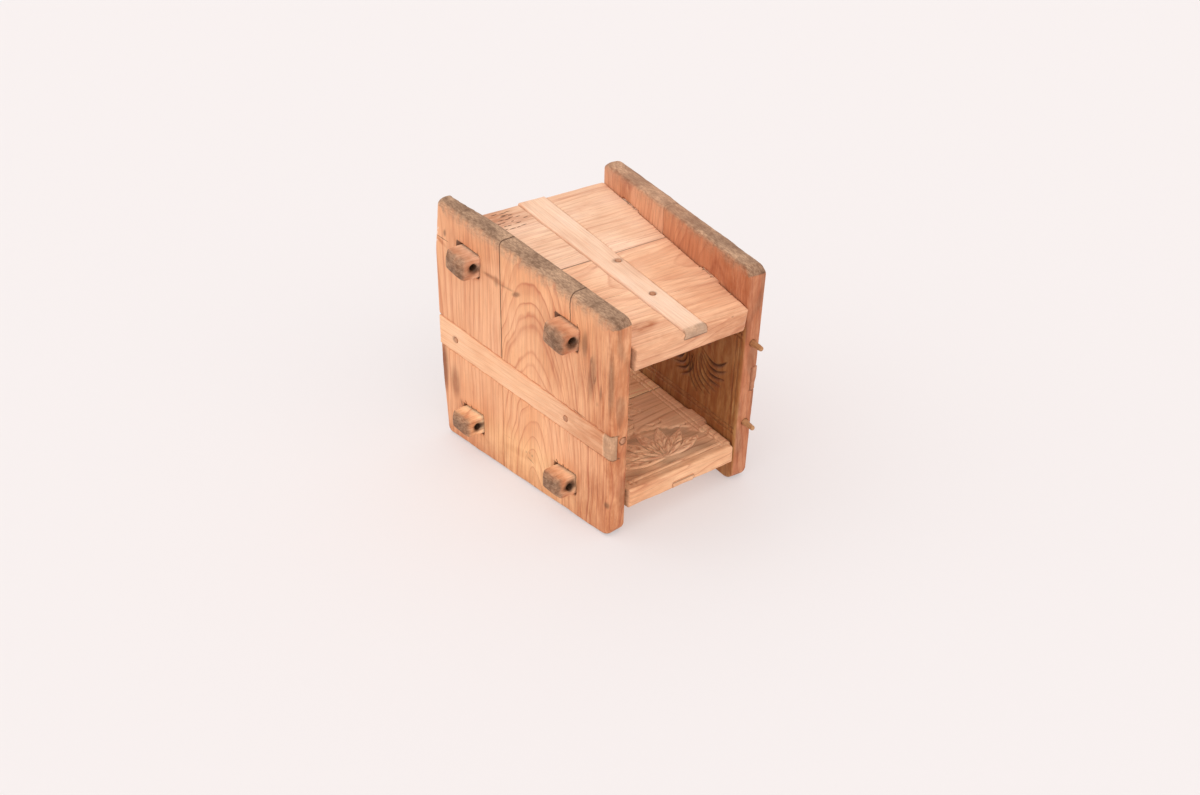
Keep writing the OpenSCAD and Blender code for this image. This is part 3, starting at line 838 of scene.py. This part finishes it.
def shape_level(board, part, points, normals, loose, half, cuts):
    """Wears, carves and cuts a plank of the top or bottom board. Returns both depths."""
    thick = THICK[board]
    x, y, z = points.T.copy()
    nibble = 1 + 0.2 * waves(points, 34, 15) + 0.08 * waves(points, 9, 16)
    on_board = np.abs(x) < half
    side_way = np.sign(x)[:, None] * OUT
    if part == "front":
        gap = np.where(on_board, y + STAND_OUT[0], 99)
        round_edge(points, gap, -ALONG, half - np.abs(x), side_way, np.where(x > 0, 6.0, 1.5))
        gap = np.where(on_board, points[:, 1] + STAND_OUT[0], 99)
        round_edge(points, gap, -ALONG, thick - z, UP, 3.4 * nibble)
        round_edge(points, gap, -ALONG, z, -UP, 1.8 * nibble)
        corner = np.where(on_board & (x > 0) & (y < 4), half - x, 99)
        round_edge(points, corner, OUT, points[:, 2], -UP, 7.0)
        round_edge(points, corner, OUT, thick - points[:, 2], UP, 3.5)
    else:
        gap = np.where(on_board, LENGTH + STAND_OUT[1] - y, 99)
        round_edge(points, gap, ALONG, thick - z, UP, 2.4 * nibble)
        round_edge(points, gap, ALONG, z, -UP, 1.5 * nibble)
    side_edge = np.where(on_board & (np.abs(normals[:, 1]) < 0.7), half - np.abs(x), 99)
    round_edge(points, side_edge, side_way, thick - points[:, 2], UP, 1.3 * nibble)

    face = points[:, :2]
    inner = (points[:, 2] < 1.2) & (normals[:, 2] < -0.5) & on_board
    ground = sunk_ground(face, np.array(FLOWER, float), LEAF_TIPS, LEAF_WIDTH, FLOWER_REACH)
    depth = np.maximum(carve_depth(face, LEVEL_CARVING), ground)
    depth = depth * inner * (1 + 0.2 * waves(points, 14, 21))
    outer = (points[:, 2] > thick - 1.2) & (normals[:, 2] > 0.5)
    cut_depth = carve_depth(face, cuts) * outer
    points[:, 2] += depth - cut_depth
    plane = 0.25 * waves(points * (0.25, 1, 1), 24, 13) * loose
    points[:, 2] -= np.where(normals[:, 2] > 0.6, np.abs(plane), 0)
    return depth, cut_depth


def tenon_black(x, y, z, half, thick, past, ragged):
    """Painted shade inside the peg holes through the tenons, and a darker patch round their mouths."""
    black = np.zeros(len(x))
    for middle, _ in TENONS:
        hole_out = half + SIDE_T / cos(SIDE_ANGLE) + PEG_OFFSET
        reach = np.hypot(np.abs(x) - hole_out, z - thick / 2)
        side_face = (np.abs(np.abs(y - middle) - 11.4) < 2.5) & (past > -1)
        round_hole = (1 - ease(2.4, 7.5, reach + 0.35 * ragged)) ** 1.5 * side_face * 0.95
        # Painted shade inside each peg hole's bore
        in_hole = (reach < 3.4) * (np.abs(y - middle) < 10.8) * (past > -1)
        black = np.maximum.reduce([black, round_hole, in_hole])
    return black


def level_plank(board, part, material, stains, dark_marks, cuts):
    """One plank of the top or bottom board with its two tenons."""
    thick = THICK[board]
    mesh, points, normals, loose = plank_mesh(board, part, LEVEL_CARVING, cuts, 2, [0, 1])
    half = between((MOUTH[0] / 2, MOUTH[1] / 2), points[:, 1])
    past = np.abs(points[:, 0]) - half - SIDE_T
    relax(mesh, points, ease(2, 8, past), 4)
    x, y, z = points.T.copy()
    on_board = np.abs(x) < half
    depth, cut_depth = shape_level(board, part, points, normals, loose, half, cuts)

    end = ease(0.45, 0.85, np.abs(normals[:, 0])) * ease(-3, 3, past)
    end = np.maximum(end, ease(10, 15, past + 1.5 * waves(points, 6, 17)))
    end = np.maximum(end, 0.6 * ease(0.6, 0.95, np.abs(normals[:, 0])))
    face = points[:, :2]
    outer = ease(0.2, 0.8, normals[:, 2])
    ragged = 4 * waves(points, 16, 18) + 2 * waves(points, 5, 19)
    grime_and_shade = [
        0.35 * (1 - ease(0, 12, y + STAND_OUT[0] + ragged)),
        spots(face, stains) * outer,
        0.8 * ease(1, 10, past + 0.4 * ragged),
    ]
    if board == "top":
        front_face = ease(0.5, 0.9, -normals[:, 1]) * on_board * (y < 5)
        grime_and_shade.append(front_face * (0.32 + 0.35 * ease(-20, 50, x)))
    seam = np.where(on_board, half - np.abs(x), 99)
    black = [
        spots(face, dark_marks) * outer,
        # Painted shade in the carving, darker where the cut is deeper
        0.72 * ease(0.75, 1.7, depth),
        0.9 * ease(0.05, 0.35, cut_depth),
        # Painted shade in the gap along the edges where the side boards meet this board
        0.8 * (1 - ease(0.1, 1.3, seam + 0.15 * ragged)) * outer,
        tenon_black(x, y, z, half, thick, past, ragged),
    ]
    if part == "front":
        # Painted shade in the gap round the batten's end
        gap_mark = 0.8 * ease(0.5, 0.9, -normals[:, 1]) * (1 - ease(0.3, 1.2, beside_batten(x, board)))
        black.append(gap_mark * (z > thick - 6) * (y < 5))
    masks = {
        "wood": np.column_stack([x, y, points[:, 2]]),
        "end": end,
        "grey": 0.6 * ease(6, 14, past + 0.5 * ragged),
        "grime_and_shade": np.maximum.reduce(grime_and_shade),
        "black": np.maximum.reduce(black),
    }
    name, node = f"{board}_board_{part}", f"{board}_{part}_plank"
    add_piece(name, mesh, points, SPACES[board], masks, material, "boards", node)


# Battens, pins and pegs


def batten(board, material, marks):
    """A tapered sliding batten, worn round where its ends meet the board's edges. marks are brown spots."""
    side = board in SIDES
    mesh, points, normals = eased_mesh(f"{board}_batten", SPACES[board], VOXEL * 0.7)
    x, y, z = points.T.copy()
    across, outward = (z, x) if side else (x, z)
    out_axis, out_way = (0, OUT) if side else (2, UP)
    start = SIDE_START if side else -STAND_OUT[0]
    face_level = THICK[board] + 0.8
    worn_end = 8.5 if board == "left" else 5.0
    nibble = 1 + 0.2 * waves(points, 20, 25)
    radius = (5.0 if side else 4.2) * nibble
    round_edge(points, y - start, -ALONG, face_level - points[:, out_axis], out_way, radius)
    round_edge(points, y.max() - y, ALONG, face_level - points[:, out_axis], out_way, 1.6 * nibble)
    hollow = 0.25 * np.abs(waves(points * (1, 0.3, 1), 16, 27))
    points[:, out_axis] -= np.where(normals[:, out_axis] > 0.6, hollow, 0)

    end = ease(0.5, 0.9, np.abs(normals[:, 1]))
    inner_gap = points[:, out_axis] - points[:, out_axis].min()
    ragged = 3 * waves(points, 12, 28)
    end = np.maximum(end, 1 - ease(worn_end - 2, worn_end + 1, y - start + 0.2 * ragged))
    grime_and_shade = 0.68 * (1 - ease(5, 110, y - start + ragged))
    if board == "left":
        grime_and_shade = grime_and_shade * ease(worn_end, worn_end + 1, y - start)
    # Painted shade in the gap under the batten's front end
    inner_line = 0.75 * (1 - ease(0.4, 1.3, inner_gap)) * ease(0.5, 0.9, -normals[:, 1]) * (y < start + 2)
    masks = {
        "wood": np.column_stack([y, across, outward]),
        "end": end * BATTEN_WORN[board],
        "grey": 0.5 * BATTEN_WORN[board] * (1 - ease(worn_end - 1, worn_end, y - start)),
        "grime_and_shade": grime_and_shade * side,
        "black": np.maximum(0.6 * spots(np.column_stack([y, across]), marks), inner_line),
    }
    name, node = f"{board}_batten_bar", f"{board}_batten"
    add_piece(name, mesh, points, SPACES[board], masks, material, BODIES[board], node)


def whittled(node, name, body, material, seed, axis=None):
    """Round pegs, pins or dowels cut by knife, with an uneven surface. axis is known for a group."""
    space = Matrix.Scale(MM, 4)
    mesh, points, normals = eased_mesh(node, space, PEG_VOXEL)
    if axis is None:
        spread = points - points.mean(0)
        axis = np.linalg.svd(spread[:: max(1, len(spread) // 3000)], full_matrices=False)[2][0]
    shaved = (0.10 + 0.10 * waves(points, 3.5, seed))[:, None]
    points -= normals * shaved * (1 - np.abs(normals @ axis))[:, None]
    side = np.cross(axis, UP if abs(axis[2]) < 0.8 else OUT)
    side /= np.linalg.norm(side)
    third = np.cross(axis, side)
    masks = {
        "wood": np.column_stack([points @ axis, points @ side, points @ third]),
        "end": ease(0.5, 0.9, np.abs(normals @ axis)) * 0.2,
        "grime_and_shade": 0.4 * ease(-0.3, 0.8, waves(points, 9, seed + 1)),
    }
    add_piece(name, mesh, points, space, masks, material, body, node)


# Making the object


def batten_wood(name, contrast, seed, tint=(1, 1, 1)):
    return wood(name, (60, -20), (0.01, 0.01), 2.6, PALE_EARLY, PALE_LATE, contrast, seed, tint=tint)


wood_left_front = plank_wood(
    "left", "front", (88, -26), (0.0, 0.38), 6.0, 1.0, (1.02, 0.97, 0.91), contrast=0.8,
    squash=1.6, cracks=((46.5, 78, 125),),
)
wood_left_back = plank_wood(
    "left", "back", (235, -60), (0.03, 0.02), 3.5, 2.0, (0.98, 0.91, 0.86), contrast=0.7
)
wood_right_front = plank_wood(
    "right", "front", (40, -35), (0.02, 0.14), 4.2, 3.0, (0.82, 0.71, 0.69), contrast=0.5
)
wood_right_back = plank_wood("right", "back", (170, 50), (-0.02, 0.12), 4.0, 4.0, (0.90, 0.86, 0.90))
# The top planks' tints whiten them, most on the back plank: painted sheen and light on the top face
wood_top_front = plank_wood(
    "top", "front", (72, -30), (0.03, -0.09), 4.6, 5.0, (1.06, 1.15, 1.26), contrast=0.55
)
wood_top_back = plank_wood(
    "top", "back", (250, -50), (0.02, 0.04), 4.6, 6.0, (1.05, 1.25, 1.50), contrast=0.5
)
# The bottom planks' tints lighten the cavity's floor, most on the back plank: painted light in the cavity
wood_bottom_front = plank_wood("bottom", "front", (50, 60), (0.02, 0.05), 4.2, 7.0, (1.12, 1.24, 1.3))
wood_bottom_back = plank_wood("bottom", "back", (150, 50), (0.03, 0.10), 4.2, 8.0, (1.3, 1.58, 1.66))
wood_batten = batten_wood("wood_batten", 0.5, 9.0)
wood_batten_pale = batten_wood("wood_batten_pale", 0.45, 9.5, (0.99, 1.14, 1.36))
wood_batten_dark = batten_wood("wood_batten_dark", 0.5, 9.8, (0.74, 0.62, 0.60))
wood_peg = wood("wood_peg", (6, 5), (0, 0), 1.6, PEG_EARLY, PEG_LATE, 0.5, 10.0)
wood_pin = wood("wood_pin", (6, 5), (0, 0), 1.6, PIN_EARLY, PIN_LATE, 0.5, 10.5)

LEFT_STAINS = [
    (130, 82, 16, 2.6, 2, 0.5), (104, -58, 22, 4, -8, 0.3), (196, 88, 7, 2, 20, 0.7),
    (202, -26, 24, 7, 92, 0.8), (186, -34, 14, 5, 88, 0.6), (20, 52, 30, 3.5, 94, 0.6),
    (12, 40, 30, 3.5, 88, 0.8), (28, 60, 22, 3.0, 90, 0.55), (6, -20, 30, 4, 90, 0.5),
    (70, 50, 34, 16, 75, 0.35), (150, 100, 40, 9, 0, 0.25),
]
LEFT_DARK = [
    (137, 82.5, 7, 1.3, 2, 0.40), (129, 81, 2.8, 4.8, 0, 0.38), (118, 80.5, 13, 0.9, -3, 0.36),
    (106, 79.5, 5.2, 2.1, -25, 0.62), (31, 72, 11, 3.0, 92, 0.5), (23, 50, 20, 4.0, 96, 0.40),
    (4, 52, 28, 2.5, 90, 0.5), (200, -24, 24, 6, 92, 0.46), (186, -32, 16, 7, 90, 0.30),
    (178, -50, 5, 1.2, 60, 0.5), (191, 97, 1.8, 3.2, 10, 0.6), (4.5, -51, 2.6, 3.0, 0, 0.6),
    (24, 62, 1.0, 4.6, 5, 0.6), (20, 48, 0.9, 5.0, 14, 0.6), (14, 40, 0.9, 7.0, 0, 0.55),
    (17, 30, 0.6, 2.4, 0, 0.5), (89, -53, 0.7, 1.6, 0, 0.6), (92, -52, 0.7, 1.2, 0, 0.5),
    (96, -53, 0.7, 1.4, 0, 0.5),
]


def mortise_lines():
    """The knife and saw marks round the left board's mortises, along their upper and front edges."""
    made = []
    for place, width in TENONS:
        along = (place + SIDE_T * sin(SIDE_ANGLE)) / cos(SIDE_ANGLE)
        front, back = along - width / 2 - 0.6, along + width / 2 + 0.6
        for level in ("top", "bottom"):
            middle = tenon_level(level, place)
            low, high = middle - THICK[level] / 2 - 1.0, middle + THICK[level] / 2 + 0.7
            made.append(stroke((high - 0.5, front - 1.5), (high + 0.6, back + 2.0), 0.1, 1.2, ends=0.5))
            made.append(stroke((low - 1.2, front), (high + 1.8, front - 0.1), 0.1, 1.3, ends=0.5))
            made.append(stroke((low - 0.5, back + 0.2), (high + 1.6, back), 0.1, 0.9, ends=0.4))
            if level == "bottom":
                for tick in (0.15, 0.45, 0.7):
                    start = back - (back - front) * tick
                    end = (high + 4.5 - 3 * tick, start + 1.5)
                    made.append(stroke((high + 0.3, start), end, 0.3, 1.4))
    return made


LEFT_CUTS = mortise_lines() + [
    stroke((9.2, 9), (17.9, 140), 0.1, 1.3, ends=0.25),
    stroke((9.6, 9), (12.8, 60), 0.3, 1.0, ends=0.5),
    stroke((9.0, 0.5), (9.3, 9.5), 0, 1.3, ends=0.5),
    stroke((-10.6, 0.5), (8.8, 0.2), 0, 1.0, ends=0.5),
    stroke((-10.6, 8), (-10.2, 46), -0.2, 0.8, ends=0.3),
    stroke((12.5, 28), (14, 44), 0.3, 0.9, ends=0.3),
    stroke((91, 186), (92, 205), 0.3, 1.0),
    stroke((-50, 110), (-51, 126), 0.3, 0.5),
    stroke((-57, 96), (-60, 86), 0.3, 0.9),
]
scuff = np.random.default_rng(5)
LEFT_SCUFFS = []
for _ in range(16):
    z, y = 87 + 12 * scuff.random(), 199 + 6 * scuff.random()
    LEFT_SCUFFS.append(stroke((z, y), (z + 3 * scuff.random() - 1, y + 2 * scuff.random()), 0, 1.6))
TOP_CUTS = []
ticks = np.random.default_rng(11)
for side in (-1, 1):
    for y in np.arange(8, 192, 9.0) + 5 * ticks.random(21):
        edge = side * (between(MOUTH, y) / 2 - 0.3)
        end = (edge - side * (1.2 + 1.4 * ticks.random()), y + 1.0 - 2 * ticks.random())
        TOP_CUTS.append(stroke((edge, y), end, 0, 1.2, ends=0.5))
TOP_CUTS += [
    stroke((11.6, -1), (11.0, 9), 0.4, 1.6),
    stroke((-45, 61), (-14, 59), 0.5, 0.7, ends=0.3),
    stroke((12, 44), (30, 42), 0.5, 0.6, ends=0.3),
]
chips = np.random.default_rng(7)
for row in range(6):
    for _ in range(4):
        x, y = -46 + 27 * chips.random(), 173 + 4.6 * row + 1.5 * chips.random()
        TOP_CUTS.append(stroke((x, y), (x + 3 + 4 * chips.random(), y + 0.3), 0, 1.3))
TOP_BACK_STAINS = [(-50, 190, 36, 16, 6, 0.85), (-24, 181, 20, 9, 0, 0.5), (-60, 120, 22, 5, 0, 0.35)]
side_plank("left", "front", wood_left_front, LEFT_STAINS, LEFT_DARK, LEFT_CUTS)
side_plank("left", "back", wood_left_back, LEFT_STAINS, LEFT_DARK, LEFT_CUTS, LEFT_SCUFFS)
RIGHT_FRONT_CUTS = [stroke((20, 90), (60, 92), 1, 0.8)]
RIGHT_BACK_CUTS = [stroke((80, 150), (104, 148), 1, 0.8)]
side_plank("right", "front", wood_right_front, [(60, -30, 20, 10, 20)], [], RIGHT_FRONT_CUTS)
side_plank("right", "back", wood_right_back, [(150, 60, 20, 8, 40)], [], RIGHT_BACK_CUTS)
level_plank("top", "front", wood_top_front, [(-30, 20, 14, 6, 5)], [(35, -1, 0.8, 0.8, 0)], TOP_CUTS)
level_plank("top", "back", wood_top_back, TOP_BACK_STAINS, [], TOP_CUTS)
level_plank("bottom", "front", wood_bottom_front, [], [], [stroke((20, 40), (50, 41), 1, 0.8)])
level_plank("bottom", "back", wood_bottom_back, [], [], [stroke((-40, 140), (-10, 141), 1, 0.8)])
batten("left", wood_batten, [(183, 8.4, 3.4, 3.0, 0)])
batten("right", wood_batten_dark, [])
batten("top", wood_batten_pale, [(97, 6.0, 3.2, 5.0, 0), (49, 1.6, 3.0, 3.4, 0)])
batten("bottom", wood_batten, [])
for board in BATTENS:
    turned = SPACES[board].to_3x3()
    outward = np.array((turned @ Vector(OUT if board in SIDES else UP)).normalized())
    whittled(f"{board}_batten_pins", f"{board}_pin_heads", BODIES[board], wood_pin, 31, outward)
    lengthwise = np.array((turned @ Vector(ALONG)).normalized())
    whittled(f"{board}_joint_dowels", f"{board}_hidden_dowels", BODIES[board], wood_peg, 51, lengthwise)
whittled("left_edge_peg", "left_edge_plug", "left_board", wood_pin, 41)
whittled("right_upper_edge_peg", "right_upper_edge_stub", "boards", wood_peg, 42)
whittled("right_lower_edge_peg", "right_lower_edge_stub", "boards", wood_peg, 43)
for place in ("upper_front", "upper_back", "lower_front", "lower_back"):
    whittled(f"{place}_peg", f"{place}_locking_peg", f"{place}_peg", wood_peg, 44)

# Floor, light and camera


FLOOR_REACH = 9.0  # metres from the middle to each side
FLOOR_LOOK = {
    "Base Color": (0.50, 0.472, 0.468, 1),
    "Emission Color": (0.83, 0.79, 0.785, 1),
    "Emission Strength": 0.45,
    "Roughness": 0.9,
    "Specular IOR Level": 0.1,
}
SUN_COLOUR = (1.0, 0.975, 0.96)
CAMERA_PLACE = (-0.50077, -0.66411, 0.55164)  # in metres
CAMERA_AZIMUTH = -36.66
CAMERA_ELEVATION = 31.0
CAMERA_LENS = 36.7


def make_floor():
    """A wide floor that glows a little, which keeps its shadows as pale as the photo's."""
    mesh = bpy.data.meshes.new("floor")
    far = FLOOR_REACH
    mesh.from_pydata([(-far, -far, 0), (far, -far, 0), (far, far, 0), (-far, far, 0)], [], [(0, 1, 2, 3)])
    t = Tree("floor")
    for key, value in FLOOR_LOOK.items():
        t.shader.inputs[key].default_value = value
    mesh.materials.append(t.material)
    show("floor", mesh)


def stand(name, data, azimuth, elevation):
    """Puts a lamp or camera in the scene, aimed from this direction in degrees. 0, 0 is the front."""
    made = show(name, data)
    a, e = radians(azimuth), radians(elevation)
    toward = Vector((sin(a) * cos(e), -cos(a) * cos(e), sin(e)))
    made.rotation_mode = "QUATERNION"
    made.rotation_quaternion = (-toward).to_track_quat("-Z", "Y")
    return made


def soft_sun(name, azimuth, elevation, spread, power):
    """Even light from a patch of sky that is spread degrees wide."""
    data = bpy.data.lights.new(name, "SUN")
    data.angle = radians(spread)
    data.energy = power
    data.color = SUN_COLOUR
    stand(name, data, azimuth, elevation)


def make_light():
    world = bpy.data.worlds.new("studio")
    bpy.context.scene.world = world
    world.use_nodes = True
    sky = world.node_tree.nodes["Background"]
    sky.inputs["Color"].default_value = (0.985, 0.962, 0.955, 1)
    sky.inputs["Strength"].default_value = 0.84
    soft_sun("left", azimuth=-88, elevation=42, spread=100, power=0.92)
    soft_sun("front", azimuth=0, elevation=25, spread=60, power=0.65)
    soft_sun("back", azimuth=160, elevation=60, spread=60, power=0.1)


def make_camera():
    """The photograph's view: the mould seen from the narrow mouth's left, from above."""
    data = bpy.data.cameras.new("camera")
    data.sensor_width = 36
    data.lens = CAMERA_LENS
    data.clip_start = 0.01
    camera = stand("camera", data, CAMERA_AZIMUTH, CAMERA_ELEVATION)
    camera.location = CAMERA_PLACE
    bpy.context.scene.camera = camera


make_floor()
make_light()
make_camera()
bpy.context.scene.view_settings.view_transform = "Standard"
